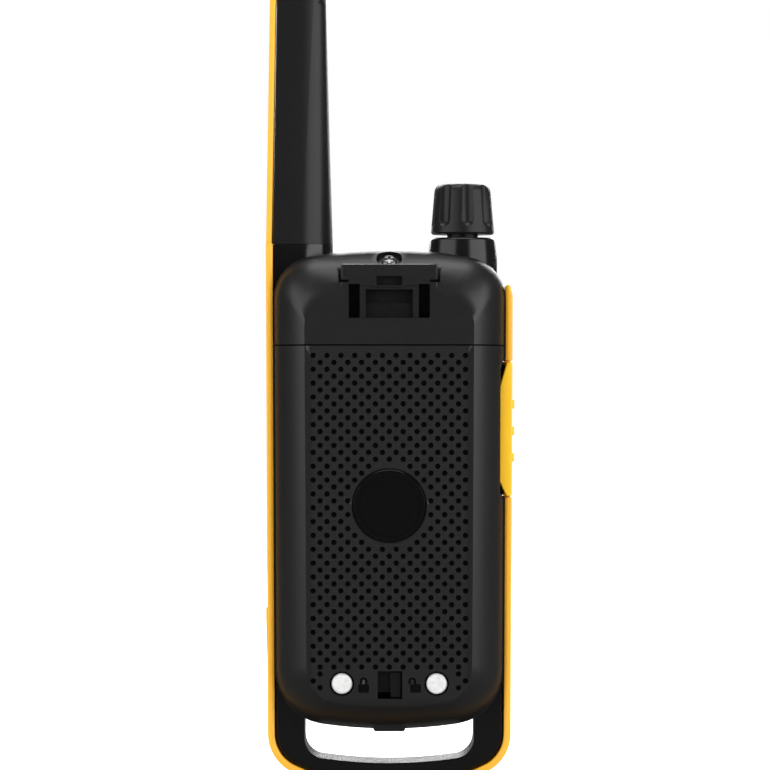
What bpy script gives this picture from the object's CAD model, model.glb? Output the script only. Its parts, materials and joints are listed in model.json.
import json
import math

import bpy
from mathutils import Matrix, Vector

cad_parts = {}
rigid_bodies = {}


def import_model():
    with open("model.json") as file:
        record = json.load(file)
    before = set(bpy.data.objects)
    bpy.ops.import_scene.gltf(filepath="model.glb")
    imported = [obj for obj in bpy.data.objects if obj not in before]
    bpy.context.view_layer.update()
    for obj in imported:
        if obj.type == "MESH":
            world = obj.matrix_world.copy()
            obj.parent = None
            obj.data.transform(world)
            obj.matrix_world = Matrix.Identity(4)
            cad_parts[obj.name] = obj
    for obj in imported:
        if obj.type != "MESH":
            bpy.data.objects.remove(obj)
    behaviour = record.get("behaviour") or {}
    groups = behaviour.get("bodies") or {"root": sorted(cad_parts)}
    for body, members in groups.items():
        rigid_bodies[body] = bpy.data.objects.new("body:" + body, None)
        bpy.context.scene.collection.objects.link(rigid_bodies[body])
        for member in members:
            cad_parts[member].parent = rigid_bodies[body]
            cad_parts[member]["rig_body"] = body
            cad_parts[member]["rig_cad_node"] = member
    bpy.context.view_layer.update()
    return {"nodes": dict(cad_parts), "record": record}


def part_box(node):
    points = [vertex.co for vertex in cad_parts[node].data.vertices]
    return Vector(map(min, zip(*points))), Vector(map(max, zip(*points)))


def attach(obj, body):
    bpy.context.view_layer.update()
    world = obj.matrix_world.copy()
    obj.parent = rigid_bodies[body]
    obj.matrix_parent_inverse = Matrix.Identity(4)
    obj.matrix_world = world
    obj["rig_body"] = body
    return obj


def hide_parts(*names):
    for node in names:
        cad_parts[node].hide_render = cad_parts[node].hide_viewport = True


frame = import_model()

bl_info = {
    "name": "Two way radio finish",
    "version": (1, 0, 0),
    "blender": (4, 5, 0),
    "location": "3D View > Sidebar > Radio",
    "description": "Skins, surface detail, finishes and a studio for a hand-held two way radio",
    "category": "Object",
}

DOOR_LOW, DOOR_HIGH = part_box("battery_door")
REAR_FACE = DOOR_HIGH.y
BADGE_LOW, BADGE_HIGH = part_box("door_badge")
BADGE_CENTRE = (BADGE_LOW + BADGE_HIGH) / 2
BUMPER_LOW, BUMPER_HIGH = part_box("bumper")
LATCH_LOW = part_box("door_latch")[0]
CLIP_TOP = DOOR_HIGH.z + 0.0140
KEY_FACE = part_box("key_menu")[0].y
LCD_LOW, LCD_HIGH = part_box("lcd_module")
SEAM_CLOSE = 0.00024            # how much of a 0.3 mm joint a skin fills


# ---------------------------------------------------------------- settings
class RadioDetail(bpy.types.PropertyGroup):
    """Sizes of the surface detail."""

    dimple_diameter: bpy.props.FloatProperty(
        name="Dimple diameter", description="Width of each dimple in the battery door",
        default=0.00126, subtype="DISTANCE", unit="LENGTH",
    )
    dimple_pitch: bpy.props.FloatProperty(
        name="Dimple pitch", description="Distance between dimples in one row",
        default=0.003096, subtype="DISTANCE", unit="LENGTH",
    )
    dimple_rows: bpy.props.IntProperty(
        name="Dimple rows", description="Rows of dimples from the seam down", default=46, min=2,
    )
    dimple_columns: bpy.props.IntProperty(
        name="Dimple columns", description="Dimples in each even row", default=12, min=2,
    )
    dimple_depth: bpy.props.FloatProperty(
        name="Dimple depth", description="How deep each dimple goes", default=0.0006,
        subtype="DISTANCE", unit="LENGTH",
    )
    edge_round: bpy.props.FloatProperty(
        name="Edge rounding", description="Radius on the moulded edges", default=0.00022,
        subtype="DISTANCE", unit="LENGTH",
    )
    panel_half_width: bpy.props.FloatProperty(
        name="Panel half width", description="Half width of the dimpled panel", default=0.0177,
        subtype="DISTANCE", unit="LENGTH",
    )
    panel_foot: bpy.props.FloatProperty(
        name="Panel foot", description="Height of the panel's lower edge", default=0.0206,
        subtype="DISTANCE", unit="LENGTH",
    )
    panel_depth: bpy.props.FloatProperty(
        name="Panel depth", description="How far the panel lies below the door's face", default=0.00016,
        subtype="DISTANCE", unit="LENGTH",
    )
    mark_depth: bpy.props.FloatProperty(
        name="Mark depth", description="How deep the lock signs and key signs are pressed", default=0.00022,
        subtype="DISTANCE", unit="LENGTH",
    )


class RadioFinish(bpy.types.PropertyGroup):
    """Colours and textures of the finishes."""

    case_colour: bpy.props.FloatVectorProperty(
        name="Case", description="Colour of the black mouldings", subtype="COLOR", size=3,
        default=(0.0088, 0.0088, 0.0090),
    )
    bumper_colour: bpy.props.FloatVectorProperty(
        name="Bumper", description="Colour of the bumper strip", subtype="COLOR", size=3,
        default=(0.93, 0.455, 0.024),
    )
    button_colour: bpy.props.FloatVectorProperty(
        name="Talk button", description="Colour of the talk button", subtype="COLOR", size=3,
        default=(1.0, 0.55, 0.010),
    )
    grain_size: bpy.props.FloatProperty(
        name="Grain size", description="Size of the moulded grain", default=0.00035,
        subtype="DISTANCE", unit="LENGTH",
    )


class RadioStage(bpy.types.PropertyGroup):
    """Where the camera stands and how it sees the radio."""

    eye_height: bpy.props.FloatProperty(
        name="Eye height", description="Height of the camera above the ground", default=0.091,
        subtype="DISTANCE", unit="LENGTH",
    )
    distance: bpy.props.FloatProperty(
        name="Distance", description="From the camera to the middle of the radio", default=0.94,
        subtype="DISTANCE", unit="LENGTH",
    )
    view_height: bpy.props.FloatProperty(
        name="View height", description="Height of the picture at the radio", default=0.1752,
        subtype="DISTANCE", unit="LENGTH",
    )
    side_step: bpy.props.FloatProperty(
        name="Side step", description="How far the camera stands to the antenna side", default=0.00096,
        subtype="DISTANCE", unit="LENGTH",
    )


# ---------------------------------------------------------------- working on objects
def only(*objects):
    """Select these objects and nothing else."""
    bpy.ops.object.select_all(action="DESELECT")
    for obj in objects:
        obj.select_set(True)
    bpy.context.view_layer.objects.active = objects[0]


def edit(obj, *steps):
    """Run edit-mode steps on a whole mesh."""
    only(obj)
    bpy.ops.object.mode_set(mode="EDIT")
    bpy.ops.mesh.select_all(action="SELECT")
    for step in steps:
        step()
    bpy.ops.object.mode_set(mode="OBJECT")


def merge_points():
    bpy.ops.mesh.remove_doubles(threshold=0.000002)


def merge_flats():
    bpy.ops.mesh.dissolve_limited(angle_limit=math.radians(0.8))


def apply_modifier(obj, kind, **values):
    """Add a modifier with these values and apply it."""
    only(obj)
    bpy.ops.object.modifier_add(type=kind)
    modifier = obj.modifiers[-1]
    for name, value in values.items():
        setattr(modifier, name, value)
    bpy.ops.object.modifier_apply(modifier=modifier.name)


def round_edges(obj, width, segments=2, angle=32):
    apply_modifier(
        obj, "BEVEL", width=width, segments=segments, limit_method="ANGLE",
        angle_limit=math.radians(angle), use_clamp_overlap=True, miter_outer="MITER_ARC",
    )


def cut_with(obj, cutter):
    """Take the cutter's shape and finish out of an object, and remove the cutter."""
    apply_modifier(
        obj, "BOOLEAN", operation="DIFFERENCE", object=cutter, solver="EXACT", material_mode="TRANSFER"
    )
    bpy.data.objects.remove(cutter, do_unlink=True)


def smooth(obj, angle=34, weighted=True):
    only(obj)
    bpy.ops.object.shade_smooth_by_angle(angle=math.radians(angle))
    if weighted:
        apply_modifier(obj, "WEIGHTED_NORMAL", keep_sharp=True, weight=60)


def skin_of(node):
    """A merged copy of a CAD node, ready for finer work."""
    only(frame["nodes"][node])
    bpy.ops.object.duplicate()
    skin = bpy.context.view_layer.objects.active
    skin.name = node + "_skin"
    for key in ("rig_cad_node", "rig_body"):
        if key in skin:
            del skin[key]
    skin.parent = None
    skin.data.materials.clear()
    edit(skin, merge_points, merge_flats)
    return skin


def body_holding(node):
    for body, nodes in frame["record"]["behaviour"]["bodies"].items():
        if node in nodes:
            return body
    raise ValueError(f"no body holds {node}")


def slot_of(node):
    for part in frame["record"]["subparts"]:
        if part["node"] == node:
            return part["material_slot"]
    raise ValueError(f"no slot for {node}")


def paint_all(obj, paint):
    obj.data.materials.clear()
    obj.data.materials.append(paint)
    return obj


def stand_for(skin, node, paint=None):
    """The skin takes the node's place, body and slot."""
    if paint:
        paint_all(skin, paint)
    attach(skin, body_holding(node))
    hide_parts(node)
    return skin


def add_detail(piece, node, paint):
    """A piece of surface detail goes with the body of the node it sits on."""
    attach(paint_all(piece, paint), body_holding(node))
    return piece


def placed(name, place, turn=(0.0, 0.0, 0.0)):
    """Name the active object, turn it, move it and put both into its mesh."""
    piece = bpy.context.view_layer.objects.active
    piece.name = name
    piece.data.name = name
    piece.rotation_euler = turn
    piece.location = place
    only(piece)
    bpy.ops.object.transform_apply(location=True, rotation=True, scale=True)
    return piece


def block(name, x, y, z):
    """A box between limits, made from a cube."""
    bpy.ops.mesh.primitive_cube_add(size=1.0)
    piece = bpy.context.view_layer.objects.active
    piece.scale = (x[1] - x[0], y[1] - y[0], z[1] - z[0])
    return placed(name, ((x[0] + x[1]) / 2, (y[0] + y[1]) / 2, (z[0] + z[1]) / 2))


def slab(name, x, z, y, radius=0.0):
    """A plate seen along Y between limits, with rounded corners."""
    bpy.ops.mesh.primitive_plane_add(size=1.0)
    piece = bpy.context.view_layer.objects.active
    piece.scale = (x[1] - x[0], z[1] - z[0], 1.0)
    placed(name, ((x[0] + x[1]) / 2, y[0], (z[0] + z[1]) / 2), (math.pi / 2, 0.0, 0.0))
    steps = []
    if radius:
        steps.append(lambda: bpy.ops.mesh.bevel(offset=radius, segments=5, affect="VERTICES"))
    through = {"value": (0, y[1] - y[0], 0)}
    steps.append(lambda: bpy.ops.mesh.extrude_region_move(TRANSFORM_OT_translate=through))
    steps.append(lambda: bpy.ops.mesh.select_all(action="SELECT"))
    steps.append(lambda: bpy.ops.mesh.normals_make_consistent(inside=False))
    edit(piece, *steps)
    return piece


def turned_plate(name, x, z, y, radius, corners=20, turn=0.0):
    """A flat disc or regular plate seen along Y."""
    bpy.ops.mesh.primitive_cylinder_add(vertices=corners, radius=radius, depth=y[1] - y[0])
    return placed(name, (x, (y[0] + y[1]) / 2, z), (math.pi / 2, turn, 0.0))


def hollow(outer, inner):
    """Take one plate out of another."""
    cut_with(outer, inner)
    return outer


def joined(name, pieces):
    only(*pieces)
    bpy.ops.object.join()
    pieces[0].name = name
    return pieces[0]


def flatten_end(obj, start, end):
    """Bring every point between two heights to the second, so that the end is square."""
    low, high = sorted((start, end))
    for vert in obj.data.vertices:
        if low - SEAM_CLOSE < vert.co.z < high + SEAM_CLOSE / 8:
            vert.co.z = end


# ---------------------------------------------------------------- finishes
def shader_group(name, inputs, outputs):
    group = bpy.data.node_groups.new(name, "ShaderNodeTree")
    for label, default in inputs:
        socket = group.interface.new_socket(label, in_out="INPUT", socket_type="NodeSocketFloat")
        socket.default_value = default
    for label in outputs:
        group.interface.new_socket(label, in_out="OUTPUT", socket_type="NodeSocketFloat")
    return group, group.nodes.new("NodeGroupInput"), group.nodes.new("NodeGroupOutput")


def maths(tree, operation, first, second=0.5):
    node = tree.nodes.new("ShaderNodeMath")
    node.operation = operation
    for socket, value in zip(node.inputs, (first, second)):
        if isinstance(value, (int, float)):
            socket.default_value = value
        else:
            tree.links.new(value, socket)
    return node.outputs[0]


def remap(tree, value, low, high, to_low, to_high):
    node = tree.nodes.new("ShaderNodeMapRange")
    tree.links.new(value, node.inputs["Value"])
    for label, number in zip(("From Min", "From Max", "To Min", "To Max"), (low, high, to_low, to_high)):
        node.inputs[label].default_value = number
    return node.outputs["Result"]


def moulded_grain():
    """Fine spark-eroded grain: a height and a value that both vary over the surface."""
    group, source, result = shader_group(
        "moulded_grain", (("Scale", 3000.0), ("Soft", 0.5)), ("Height", "Value"))
    place = group.nodes.new("ShaderNodeTexCoord")
    fine = group.nodes.new("ShaderNodeTexNoise")
    fine.inputs["Detail"].default_value = 3.0
    fine.inputs["Roughness"].default_value = 0.6
    cells = group.nodes.new("ShaderNodeTexVoronoi")
    cells.feature = "SMOOTH_F1"
    group.links.new(place.outputs["Object"], fine.inputs["Vector"])
    group.links.new(place.outputs["Object"], cells.inputs["Vector"])
    group.links.new(source.outputs["Scale"], fine.inputs["Scale"])
    group.links.new(maths(group, "MULTIPLY", source.outputs["Scale"], 0.6), cells.inputs["Scale"])
    group.links.new(source.outputs["Soft"], cells.inputs["Smoothness"])
    pebbles = maths(group, "MULTIPLY", cells.outputs["Distance"], 0.6)
    height = maths(group, "ADD", fine.outputs["Fac"], pebbles)
    group.links.new(height, result.inputs["Height"])
    group.links.new(remap(group, fine.outputs["Fac"], 0.3, 0.7, 0.0, 1.0), result.inputs["Value"])
    return group


def edge_wear():
    """A mask that is high on convex edges, broken up by noise."""
    group, source, result = shader_group("edge_wear", (("Amount", 0.3), ("Scale", 900.0)), ("Mask",))
    shape = group.nodes.new("ShaderNodeNewGeometry")
    place = group.nodes.new("ShaderNodeTexCoord")
    noise = group.nodes.new("ShaderNodeTexNoise")
    noise.inputs["Detail"].default_value = 4.0
    group.links.new(place.outputs["Object"], noise.inputs["Vector"])
    group.links.new(source.outputs["Scale"], noise.inputs["Scale"])
    sharp = remap(group, shape.outputs["Pointiness"], 0.52, 0.62, 0.0, 1.0)
    broken = maths(group, "MULTIPLY", sharp, remap(group, noise.outputs["Fac"], 0.35, 0.65, 0.2, 1.0))
    group.links.new(maths(group, "MULTIPLY", broken, source.outputs["Amount"]), result.inputs["Mask"])
    return group


def soft_patches():
    """Large soft variation, as on a moulding that has been handled."""
    group, source, result = shader_group("soft_patches", (("Scale", 60.0), ("Contrast", 1.0)), ("Mask",))
    place = group.nodes.new("ShaderNodeTexCoord")
    noise = group.nodes.new("ShaderNodeTexNoise")
    noise.inputs["Detail"].default_value = 5.0
    noise.inputs["Distortion"].default_value = 0.4
    group.links.new(place.outputs["Object"], noise.inputs["Vector"])
    group.links.new(source.outputs["Scale"], noise.inputs["Scale"])
    spread = remap(group, noise.outputs["Fac"], 0.25, 0.75, 0.0, 1.0)
    group.links.new(maths(group, "MULTIPLY", spread, source.outputs["Contrast"]), result.inputs["Mask"])
    return group


GROUPS = {}


def group_node(tree, name, **values):
    makers = {"moulded_grain": moulded_grain, "edge_wear": edge_wear, "soft_patches": soft_patches}
    if name not in GROUPS:
        GROUPS[name] = makers[name]()
    node = tree.nodes.new("ShaderNodeGroup")
    node.node_tree = GROUPS[name]
    for label, value in values.items():
        node.inputs[label].default_value = value
    return node


def tint(colour, factor):
    return [min(1.0, channel * factor) for channel in colour]


def mixed(tree, mask, first, second):
    """A colour that runs from first to second as the mask rises."""
    node = tree.nodes.new("ShaderNodeMix")
    node.data_type = "RGBA"
    tree.links.new(mask, node.inputs["Factor"])
    for socket, value in ((node.inputs[6], first), (node.inputs[7], second)):
        if isinstance(value, bpy.types.NodeSocket):
            tree.links.new(value, socket)
        else:
            socket.default_value = (*value, 1.0)
    return node.outputs[2]


def moulding(name, colour, roughness, grain=3000.0, depth=0.00002, strength=0.35, wear=0.25, sockets=None,
             metallic=0.0, worn=None, spread=0.10, vary=0.14):
    """A moulded or plated finish: grain in colour, roughness and bump, soft patches and worn edges."""
    paint = bpy.data.materials.new(name)
    paint.use_nodes = True
    tree = paint.node_tree
    shader = tree.nodes["Principled BSDF"]
    shader.inputs["Metallic"].default_value = metallic
    for label, value in (sockets or {}).items():
        shader.inputs[label].default_value = value
    grain_node = group_node(tree, "moulded_grain", Scale=grain)
    patches = group_node(tree, "soft_patches")
    wear_node = group_node(tree, "edge_wear", Amount=wear)
    base = mixed(tree, grain_node.outputs["Value"], tint(colour, 1 - vary), tint(colour, 1 + vary))
    patchy = maths(tree, "MULTIPLY", patches.outputs["Mask"], 0.25)
    base = mixed(tree, patchy, base, tint(colour, 1 + 1.8 * vary))
    base = mixed(tree, wear_node.outputs["Mask"], base, worn or tint(colour, 2.2))
    tree.links.new(base, shader.inputs["Base Color"])
    rough = maths(tree, "ADD", remap(tree, grain_node.outputs["Value"], 0, 1, roughness - spread / 2,
                                     roughness + spread / 2),
                  maths(tree, "MULTIPLY", patches.outputs["Mask"], -0.05))
    tree.links.new(rough, shader.inputs["Roughness"])
    bump = tree.nodes.new("ShaderNodeBump")
    bump.inputs["Strength"].default_value = strength
    bump.inputs["Distance"].default_value = depth
    tree.links.new(grain_node.outputs["Height"], bump.inputs["Height"])
    tree.links.new(bump.outputs["Normal"], shader.inputs["Normal"])
    return paint


FINISHES = {}


def finish(name):
    """The named finish, made the first time it is asked for."""
    if name in FINISHES:
        return FINISHES[name]
    looks = bpy.context.scene.radio_finish
    grain = 1.0 / looks.grain_size
    black = tuple(looks.case_colour)
    yellow = tuple(looks.bumper_colour)
    button = tuple(looks.button_colour)
    recipes = {
        "case_texture": dict(
            colour=black, roughness=0.38, grain=grain, depth=0.00002, strength=0.20, wear=0.10,
            sockets={"Specular IOR Level": 0.34},
        ),
        "panel_texture": dict(
            colour=tint(black, 1.1), roughness=0.44, grain=grain * 1.3, depth=0.00003, strength=0.30,
            wear=0.05, sockets={"Specular IOR Level": 0.34},
        ),
        "satin_shell": dict(
            colour=tint(black, 0.45), roughness=0.22, grain=grain, depth=0.000004, strength=0.05,
            wear=0.03, sockets={"Specular IOR Level": 0.42},
        ),
        "collar_gloss": dict(
            colour=tint(black, 0.6), roughness=0.24, grain=grain, depth=0.000004, strength=0.04,
            wear=0.0, sockets={"Specular IOR Level": 0.30}, spread=0.04,
        ),
        "badge_gloss": dict(
            colour=tint(black, 0.35), roughness=0.22, grain=grain, depth=0.000004, strength=0.05,
            wear=0.0, sockets={"Specular IOR Level": 0.22},
        ),
        "knob_rubber": dict(
            colour=tint(black, 0.9), roughness=0.42, grain=grain * 0.8, depth=0.00002, strength=0.20,
            wear=0.05, sockets={"Specular IOR Level": 0.24},
        ),
        "soft_rubber": dict(
            colour=tint(black, 0.6), roughness=0.42, grain=grain * 0.8, depth=0.00002, strength=0.20,
            wear=0.08, sockets={"Specular IOR Level": 0.2},
        ),
        "antenna_rubber": dict(
            colour=tint(black, 0.9), roughness=0.36, grain=grain * 0.8, depth=0.00002, strength=0.15,
            wear=0.04, sockets={"Specular IOR Level": 0.24},
        ),
        "pit_black": dict(
            colour=tint(black, 0.2), roughness=0.70, grain=grain, depth=0.00001, strength=0.1, wear=0.0,
            sockets={"Specular IOR Level": 0.08},
        ),
        "bumper_rubber": dict(
            colour=yellow, roughness=0.48, grain=grain * 0.8, depth=0.00001, strength=0.16, wear=0.10,
            worn=tint(yellow, 1.1), spread=0.08, vary=0.04,
        ),
        "talk_yellow": dict(
            colour=button, roughness=0.42, grain=grain * 0.8, depth=0.00001, strength=0.12, wear=0.10,
            worn=tint(button, 1.1), spread=0.08, vary=0.03,
        ),
        "bright_steel": dict(
            colour=(0.52, 0.52, 0.52), roughness=0.30, grain=grain * 0.5, depth=0.00001, strength=0.2,
            wear=0.3, metallic=1.0, worn=(0.75, 0.75, 0.75),
        ),
        "screw_steel": dict(
            colour=(0.20, 0.20, 0.20), roughness=0.34, grain=grain * 0.5, depth=0.00001, strength=0.2,
            wear=0.2, metallic=1.0, worn=(0.45, 0.45, 0.45),
        ),
        "pad_plate": dict(
            colour=(0.90, 0.90, 0.89), roughness=0.42, grain=grain * 0.6, depth=0.00001, strength=0.15,
            wear=0.1, metallic=0.35, worn=(0.8, 0.8, 0.8),
        ),
        "nickel_plate": dict(
            colour=(0.84, 0.84, 0.83), roughness=0.32, grain=grain * 0.6, depth=0.00001, strength=0.2,
            wear=0.2, metallic=1.0, worn=(0.9, 0.9, 0.9),
        ),
        "drawn_brass": dict(
            colour=(0.72, 0.50, 0.20), roughness=0.30, grain=grain * 0.5, depth=0.00001, strength=0.2,
            wear=0.3, metallic=1.0, worn=(0.85, 0.66, 0.34),
        ),
        "board_mask": dict(
            colour=(0.008, 0.080, 0.030), roughness=0.38, grain=grain * 0.4, depth=0.00002,
            strength=0.3, wear=0.3, worn=(0.30, 0.26, 0.12),
        ),
        "cell_sleeve": dict(
            colour=(0.020, 0.060, 0.19), roughness=0.32, grain=grain * 0.3, depth=0.00001, strength=0.2,
            wear=0.2,
        ),
        "display_glass": dict(
            colour=(0.42, 0.45, 0.44), roughness=0.06, grain=grain * 0.2, depth=0.000001, strength=0.02,
            wear=0.0, sockets={"Transmission Weight": 1.0, "IOR": 1.45}, spread=0.02,
        ),
        "lcd_field": dict(
            colour=(0.40, 0.47, 0.38), roughness=0.30, grain=grain * 0.2, depth=0.000005, strength=0.1,
            wear=0.0,
        ),
        "lcd_ink": dict(
            colour=(0.09, 0.12, 0.10), roughness=0.40, grain=grain * 0.2, depth=0.000005, strength=0.1,
            wear=0.0,
        ),
        "light_pipe": dict(
            colour=(0.75, 0.75, 0.70), roughness=0.20, grain=grain * 0.3, depth=0.00001, strength=0.1,
            wear=0.1,
        ),
        "pressed_cone": dict(
            colour=(0.03, 0.03, 0.032), roughness=0.80, grain=grain * 0.6, depth=0.00006, strength=0.6,
            wear=0.0,
        ),
        "felt": dict(
            colour=(0.012, 0.012, 0.012), roughness=0.95, grain=grain * 0.8, depth=0.00010,
            strength=0.9, wear=0.0, sockets={"Sheen Weight": 0.3},
        ),
        "key_print": dict(
            colour=(0.60, 0.60, 0.58), roughness=0.45, grain=grain, depth=0.00001, strength=0.2,
            wear=0.1,
        ),
    }
    FINISHES[name] = moulding(name, **recipes[name])
    return FINISHES[name]


# ---------------------------------------------------------------- operators
class RADIO_OT_housings(bpy.types.Operator):
    """Skin the front and rear housings and the knob's collar"""

    bl_idname = "radio.housings"
    bl_label = "Housings"

    def execute(self, context):
        width = context.scene.radio_detail.edge_round
        for node, look in (("front_housing", "satin_shell"), ("rear_housing", "case_texture"),
                           ("knob_collar", "collar_gloss")):
            skin = paint_all(skin_of(node), finish(look))
            round_edges(skin, width)
            if node == "rear_housing":
                shade_recess(skin)
            smooth(skin)
            stand_for(skin, node)
        low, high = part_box("ptt_button")
        backing = block("talk_button_backing", (BUMPER_LOW.x + 0.0016, BUMPER_LOW.x + 0.0032),
                        (low.y - 0.0010, low.y - 0.0004), (low.z - 0.0001, high.z + 0.0001))
        add_detail(backing, "front_housing", finish("pit_black"))
        return {"FINISHED"}


def shade_recess(skin):
    """The floors and slots of the clip's seat take the darker, smoother finish."""
    skin.data.materials.append(finish("soft_rubber"))
    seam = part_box("rear_housing")[0].z + (REAR_FACE - DOOR_HIGH.y)
    for face in skin.data.polygons:
        x, y, z = face.center
        if abs(x) < 0.0093 and seam < z < CLIP_TOP and 0.0098 < y < REAR_FACE - 0.0011:
            face.material_index = 1


class RADIO_OT_battery_door(bpy.types.Operator):
    """Skin the battery door and press its panel, dimples and lock signs"""

    bl_idname = "radio.battery_door"
    bl_label = "Battery door"

    def execute(self, context):
        detail = context.scene.radio_detail
        door = paint_all(skin_of("battery_door"), finish("case_texture"))
        round_edges(door, detail.edge_round)
        half = detail.panel_half_width
        floor = REAR_FACE - detail.panel_depth
        panel = slab("panel_cutter", (-half, half), (detail.panel_foot, DOOR_HIGH.z + half),
                     (floor, 2 * REAR_FACE), 0.0022)
        cut_with(door, paint_all(panel, finish("panel_texture")))
        cutter = joined("door_cutter", dimple_plugs(detail, floor) + lock_signs(floor, detail.mark_depth))
        cut_with(door, paint_all(cutter, finish("pit_black")))
        smooth(door, 30)
        stand_for(door, "battery_door")
        badge = skin_of("door_badge")
        smooth(badge)
        stand_for(badge, "door_badge", finish("badge_gloss"))
        latch = skin_of("door_latch")
        round_edges(latch, detail.edge_round / 2)
        smooth(latch)
        stand_for(latch, "door_latch", finish("soft_rubber"))
        return {"FINISHED"}


def dimple_places(detail):
    """The middle of every dimple: rows shift by half a pitch, and leave out the badge and the contacts."""
    pitch = detail.dimple_pitch
    rise = pitch / 2
    top = DOOR_HIGH.z - 0.0022
    half_width = pitch * (detail.dimple_columns - 1) / 2
    badge_room = (BADGE_HIGH.x - BADGE_LOW.x) / 2 + detail.dimple_diameter * 0.75
    places = []
    for row in range(detail.dimple_rows):
        z = top - row * rise
        odd = row % 2
        for column in range(detail.dimple_columns - odd):
            x = -half_width + (column + odd / 2) * pitch
            if math.hypot(x - BADGE_CENTRE.x, z - BADGE_CENTRE.z) > badge_room:
                places.append((x, z))
    last = top - (detail.dimple_rows - 1) * rise
    for side in (-1, 1):
        corner = side * half_width
        places.append((corner - side * pitch / 2, last - rise))
        places.append((corner, last - 2 * rise))
        places.append((corner - side * pitch / 2, last - 3 * rise))
    return places


def dimple_plugs(detail, floor):
    """One tapered plug, modelled once and copied to every place."""
    bpy.ops.mesh.primitive_cone_add(
        vertices=12, radius1=detail.dimple_diameter * 0.32, radius2=detail.dimple_diameter * 0.68,
        depth=detail.dimple_depth * 2,
    )
    plug = placed("dimple_plug", (0, floor, 0), (-math.pi / 2, 0, 0))
    copies = []
    for x, z in dimple_places(detail):
        copy = plug.copy()
        copy.data = plug.data.copy()
        copy.location = (x, 0, z)
        bpy.context.scene.collection.objects.link(copy)
        copies.append(copy)
    bpy.data.objects.remove(plug, do_unlink=True)
    return copies


def lock_signs(floor, depth):
    """A closed and an open padlock beside the latch, as plates that cut into the door."""
    y = (floor - depth, REAR_FACE + depth)
    low = LATCH_LOW.z + 0.0011
    joint = low + 0.00195
    signs = []
    for middle, open_by in ((0.00575, 0.0), (-0.00585, 0.0007)):
        signs.append(slab("lock_body", (middle - 0.0012, middle + 0.0012), (low, low + 0.0019), y, 0.0003))
        left = middle + open_by - 0.00085
        right = middle + open_by + 0.00085
        through = (y[0] - depth, y[1] + depth)
        ring = slab("lock_ring", (left, right), (low, low + 0.0034), y, 0.0008)
        hollow(ring, slab("ring_inside", (left + 0.0005, right - 0.0005),
                          (low - depth, low + 0.0029), through, 0.0003))
        foot = slab("ring_foot", (left - depth, right + depth), (low - 2 * depth, joint), through)
        signs.append(hollow(ring, foot))
    return signs


class RADIO_OT_bumper(bpy.types.Operator):
    """Skin the coloured strip, the antenna's trim and the port cover"""

    bl_idname = "radio.bumper"
    bl_label = "Bumper and trim"

    def execute(self, context):
        width = context.scene.radio_detail.edge_round
        for node in ("bumper", "antenna_trim", "port_cover"):
            skin = skin_of(node)
            round_edges(skin, width)
            if node == "bumper":
                close_inner_seam(skin)
                flatten_end(skin, BUMPER_HIGH.z - 0.0006, BUMPER_HIGH.z)
            if node == "antenna_trim":
                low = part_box(node)[0].z
                flatten_end(skin, low + 0.0006, low - SEAM_CLOSE)
            smooth(skin)
            stand_for(skin, node, finish("bumper_rubber"))
        return {"FINISHED"}


def close_inner_seam(strip):
    """Bring the strip's inner face closer to the case, so that the joint is a fine line."""
    corner = Vector((BUMPER_HIGH.x - 0.0100, 0, 0.0123))
    inner = {}
    for face in strip.data.polygons:
        hub = Vector((max(-corner.x, min(corner.x, face.center.x)), face.center.y,
                      max(corner.z, face.center.z)))
        outward = (face.center - hub).normalized()
        if face.normal.dot(outward) < -0.9:
            for index in face.vertices:
                inner[index] = outward
    for index, outward in inner.items():
        strip.data.vertices[index].co -= outward * SEAM_CLOSE


class RADIO_OT_antenna(bpy.types.Operator):
    """Skin the antenna's sheath"""

    bl_idname = "radio.antenna"
    bl_label = "Antenna"

    def execute(self, context):
        width = context.scene.radio_detail.edge_round
        skin = skin_of("antenna_sheath")
        round_edges(skin, width)
        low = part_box("antenna_sheath")[0].z
        flatten_end(skin, low + width * 1.2, low - SEAM_CLOSE)
        smooth(skin)
        stand_for(skin, "antenna_sheath", finish("antenna_rubber"))
        return {"FINISHED"}


class RADIO_OT_controls(bpy.types.Operator):
    """Skin the volume knob, the talk button and the front keys"""

    bl_idname = "radio.controls"
    bl_label = "Knob, button and keys"

    def execute(self, context):
        detail = context.scene.radio_detail
        knob = skin_of("volume_knob")
        round_edges(knob, detail.edge_round)
        smooth(knob)
        stand_for(knob, "volume_knob", finish("knob_rubber"))
        for node, signs in key_signs(detail.mark_depth).items():
            key = paint_all(skin_of(node), finish("soft_rubber"))
            round_edges(key, detail.edge_round)
            for sign in signs:
                cut_with(key, paint_all(sign, finish("key_print")))
            smooth(key)
            stand_for(key, node)
        button = skin_of("ptt_button")
        round_edges(button, detail.edge_round)
        smooth(button)
        stand_for(button, "ptt_button", finish("talk_yellow"))
        return {"FINISHED"}


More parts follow.
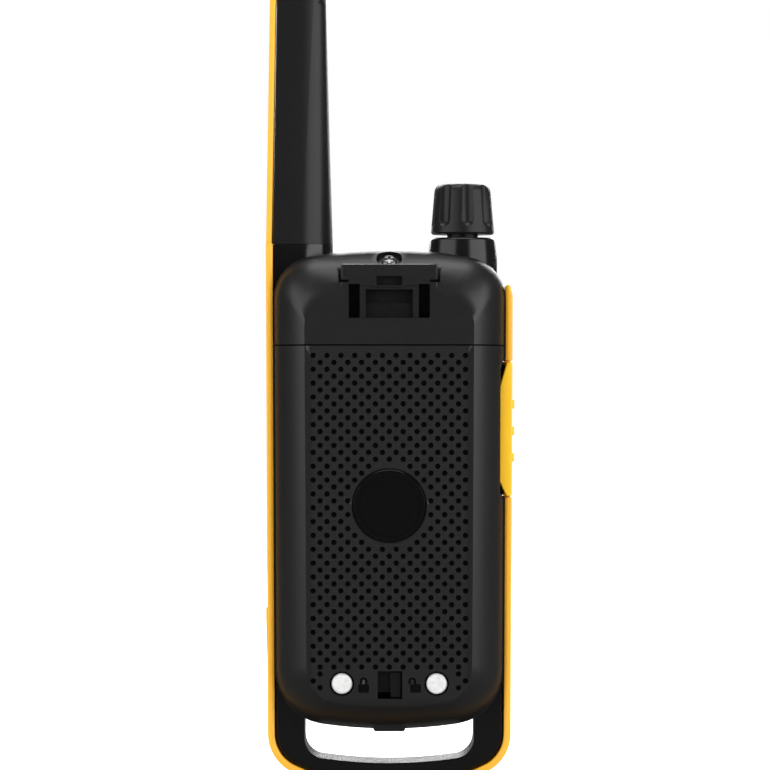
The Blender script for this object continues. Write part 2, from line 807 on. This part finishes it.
def key_signs(depth):
    """Plain signs for each key, as plates that cut into its cap."""
    y = (KEY_FACE - depth, KEY_FACE + depth)
    wide = (y[0] - depth, y[1] + depth)
    signs = {}
    for node in ("key_menu", "key_up", "key_down", "key_call", "key_power"):
        low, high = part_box(node)
        x, z = (low.x + high.x) / 2, (low.z + high.z) / 2
        if node == "key_menu":
            plates = [slab("menu_bar", (x - 0.0017, x + 0.0017),
                           (z + k * 0.0012 - 0.00022, z + k * 0.0012 + 0.00022), y)
                      for k in (-1, 0, 1)]
        elif node == "key_call":
            plates = [turned_plate("call_dot", x, z, y, 0.0005)]
            plates.append(hollow(turned_plate("call_ring", x, z, y, 0.0013, 28),
                                 turned_plate("call_ring_inside", x, z, wide, 0.0009, 28)))
        elif node == "key_power":
            ring = hollow(turned_plate("power_ring", x, z, y, 0.0014, 28),
                          turned_plate("power_ring_inside", x, z, wide, 0.00105, 28))
            gap = slab("power_gap", (x - 0.0005, x + 0.0005), (z + 0.0003, z + 0.0020), wide)
            plates = [hollow(ring, gap)]
            plates.append(slab("power_bar", (x - 0.00018, x + 0.00018), (z + 0.0003, z + 0.0017), y))
        else:
            point = math.pi / 2 if node == "key_up" else -math.pi / 2
            plates = [turned_plate("arrow", x, z, y, 0.0014, 3, point)]
        signs[node] = plates
    return signs


class RADIO_OT_display(bpy.types.Operator):
    """Lay unlit liquid crystal segments under the lens"""

    bl_idname = "radio.display"
    bl_label = "Display"

    def execute(self, context):
        y = (LCD_LOW.y - 0.00008, LCD_LOW.y + 0.00002)
        middle = (LCD_LOW + LCD_HIGH) / 2
        segments = []
        for digit in (-1, 0, 1):
            x = middle.x - digit * 0.0066
            segments += digit_segments(x, middle.z - 0.0010, y)
        for k in range(4):
            x = LCD_HIGH.x - 0.0030 - k * 0.0011
            segments.append(slab("level_bar", (x - 0.0004, x + 0.0004),
                                 (LCD_HIGH.z - 0.0050, LCD_HIGH.z - 0.0045 + 0.0007 * (3 - k)), y))
        add_detail(joined("lcd_segments", segments), "lcd_module", finish("lcd_ink"))
        return {"FINISHED"}


def digit_segments(x, z, y):
    """Seven bars round two squares."""
    half, tall, bar = 0.0019, 0.0036, 0.00035
    plates = []
    for level in (-1, 0, 1):
        height = z + level * tall
        plates.append(slab("segment", (x - half + 0.0004, x + half - 0.0004),
                           (height - bar, height + bar), y))
    for side in (-1, 1):
        for low in (z - tall, z):
            plates.append(slab("segment", (x + side * half - bar, x + side * half + bar),
                               (low + 0.0005, low + tall - 0.0005), y))
    return plates


class RADIO_OT_metalwork(bpy.types.Operator):
    """Skin the charging contacts and the screws"""

    bl_idname = "radio.metalwork"
    bl_label = "Contacts and screws"

    def execute(self, context):
        width = context.scene.radio_detail.edge_round / 3
        for node, look in (
            ("charge_contact_left", "pad_plate"), ("charge_contact_right", "pad_plate"),
            ("case_screw_top", "screw_steel"), ("case_screw_left", "bright_steel"),
            ("case_screw_right", "bright_steel"),
        ):
            skin = skin_of(node)
            round_edges(skin, width)
            smooth(skin)
            stand_for(skin, node, finish(look))
        return {"FINISHED"}


INSIDE_FINISHES = {
    "case_black": "case_texture", "satin_black": "satin_shell", "rubber_black": "soft_rubber",
    "bumper_yellow": "bumper_rubber", "button_yellow": "talk_yellow", "steel": "bright_steel",
    "nickel": "nickel_plate", "brass": "drawn_brass", "board_green": "board_mask",
    "cell_sleeve": "cell_sleeve",
    "display_clear": "display_glass", "display_dark": "lcd_field", "light_clear": "light_pipe",
    "cone_grey": "pressed_cone", "felt_black": "felt",
}


class RADIO_OT_inside(bpy.types.Operator):
    """Give every CAD node that still shows a finish of its own"""

    bl_idname = "radio.inside"
    bl_label = "Inner pieces"

    def execute(self, context):
        for node, obj in frame["nodes"].items():
            if not obj.hide_render:
                obj.data.materials.clear()
                obj.data.materials.append(finish(INSIDE_FINISHES[slot_of(node)]))
        return {"FINISHED"}


class RADIO_OT_stage(bpy.types.Operator):
    """Set a pale floor, soft lights and a camera behind the radio"""

    bl_idname = "radio.stage"
    bl_label = "Studio"

    def execute(self, context):
        scene = context.scene
        stage = scene.radio_stage
        scene.view_settings.view_transform = "Standard"
        bpy.ops.mesh.primitive_plane_add(size=30.0)
        floor = placed("studio_floor", (0, 0, 0))
        paint_all(floor, floor_paint())
        studio_light("antenna_side_softbox", (0.92, 0.64, 0.30), (0.0, 0.0, 0.10), (1.30, 1.00), 10.5)
        studio_light("knob_side_softbox", (-0.92, 0.64, 0.30), (0.0, 0.0, 0.10), (1.30, 1.00), 14.0)
        studio_light("sky_softbox", (0.0, 0.10, 1.10), (0.0, 0.0, 0.10), (0.9, 0.6), 8.0)
        studio_light("front_softbox", (0.0, -0.90, 0.55), (0.0, 0.0, 0.10), (1.10, 0.80), 14.0)
        paint_world(scene)
        camera_data = bpy.data.cameras.new("studio_camera")
        camera = bpy.data.objects.new("studio_camera", camera_data)
        scene.collection.objects.link(camera)
        camera.location = (stage.side_step, stage.distance, stage.eye_height)
        camera.rotation_euler = (math.pi / 2, 0.0, math.pi)
        camera_data.sensor_width = 36.0
        camera_data.lens = 36.0 * stage.distance / stage.view_height
        camera_data.clip_start = 0.01
        camera_data.clip_end = 50.0
        camera_data.dof.use_dof = False
        scene.camera = camera
        return {"FINISHED"}


FLOOR_GLOW = 0.93        # the floor's own light, for the camera only
FLOOR_PALE = 0.80        # its colour to soft light, and to what the gloss mirrors
FLOOR_MIRRORED = 0.10
WORLD_FILL = 0.20        # the surroundings' light on the radio, and in its gloss
WORLD_MIRRORED = 0.08


def floor_paint():
    paint = bpy.data.materials.new("studio_floor")
    paint.use_nodes = True
    tree = paint.node_tree
    shader = tree.nodes["Principled BSDF"]
    rays = tree.nodes.new("ShaderNodeLightPath")
    shader.inputs["Emission Color"].default_value = (1.0, 1.0, 1.0, 1.0)
    glow = maths(tree, "MULTIPLY", rays.outputs["Is Camera Ray"], FLOOR_GLOW)
    tree.links.new(glow, shader.inputs["Emission Strength"])
    # dark to what the gloss mirrors, so the flat faces stay black
    pale = remap(tree, rays.outputs["Is Glossy Ray"], 0, 1, FLOOR_PALE, FLOOR_MIRRORED)
    tree.links.new(pale, shader.inputs["Base Color"])
    shader.inputs["Roughness"].default_value = 0.9
    shader.inputs["Specular IOR Level"].default_value = 0.1
    return paint


def studio_light(name, place, aim, size, power):
    data = bpy.data.lights.new(name, "AREA")
    data.shape = "RECTANGLE"
    data.size, data.size_y = size
    data.energy = power
    light = bpy.data.objects.new(name, data)
    bpy.context.scene.collection.objects.link(light)
    light.location = place
    light.rotation_euler = (Vector(aim) - Vector(place)).to_track_quat("-Z", "Y").to_euler()
    return light


def paint_world(scene):
    """White to the camera; softer for what the radio reflects."""
    world = bpy.data.worlds.new("studio_world")
    world.use_nodes = True
    scene.world = world
    tree = world.node_tree
    shade = tree.nodes["Background"]
    shade.inputs["Color"].default_value = (1.0, 1.0, 1.0, 1.0)
    rays = tree.nodes.new("ShaderNodeLightPath")
    seen = remap(tree, rays.outputs["Is Camera Ray"], 0, 1, WORLD_FILL, 1.0)
    mirrored = maths(tree, "MULTIPLY", rays.outputs["Is Glossy Ray"], WORLD_FILL - WORLD_MIRRORED)
    tree.links.new(maths(tree, "SUBTRACT", seen, mirrored), shade.inputs["Strength"])


class RADIO_PT_panel(bpy.types.Panel):
    """Sidebar panel that lists the steps in order"""

    bl_idname = "RADIO_PT_panel"
    bl_label = "Two way radio"
    bl_space_type = "VIEW_3D"
    bl_region_type = "UI"
    bl_category = "Radio"

    def draw(self, context):
        for operator in OPERATORS:
            self.layout.operator(operator.bl_idname)


GROUPS_OF_SETTINGS = {"radio_detail": RadioDetail, "radio_finish": RadioFinish, "radio_stage": RadioStage}
OPERATORS = (
    RADIO_OT_housings, RADIO_OT_battery_door, RADIO_OT_bumper, RADIO_OT_antenna, RADIO_OT_controls,
    RADIO_OT_display, RADIO_OT_metalwork, RADIO_OT_inside, RADIO_OT_stage,
)


def register():
    for cls in (*GROUPS_OF_SETTINGS.values(), *OPERATORS, RADIO_PT_panel):
        bpy.utils.register_class(cls)
    for name, cls in GROUPS_OF_SETTINGS.items():
        setattr(bpy.types.Scene, name, bpy.props.PointerProperty(type=cls))


def unregister():
    for name in GROUPS_OF_SETTINGS:
        delattr(bpy.types.Scene, name)
    for cls in (RADIO_PT_panel, *reversed(OPERATORS), *GROUPS_OF_SETTINGS.values()):
        bpy.utils.unregister_class(cls)


def main():
    register()
    bpy.ops.radio.housings()
    bpy.ops.radio.battery_door()
    bpy.ops.radio.bumper()
    bpy.ops.radio.antenna()
    bpy.ops.radio.controls()
    bpy.ops.radio.display()
    bpy.ops.radio.metalwork()
    bpy.ops.radio.inside()
    bpy.ops.radio.stage()


if __name__ == "__main__":
    main()
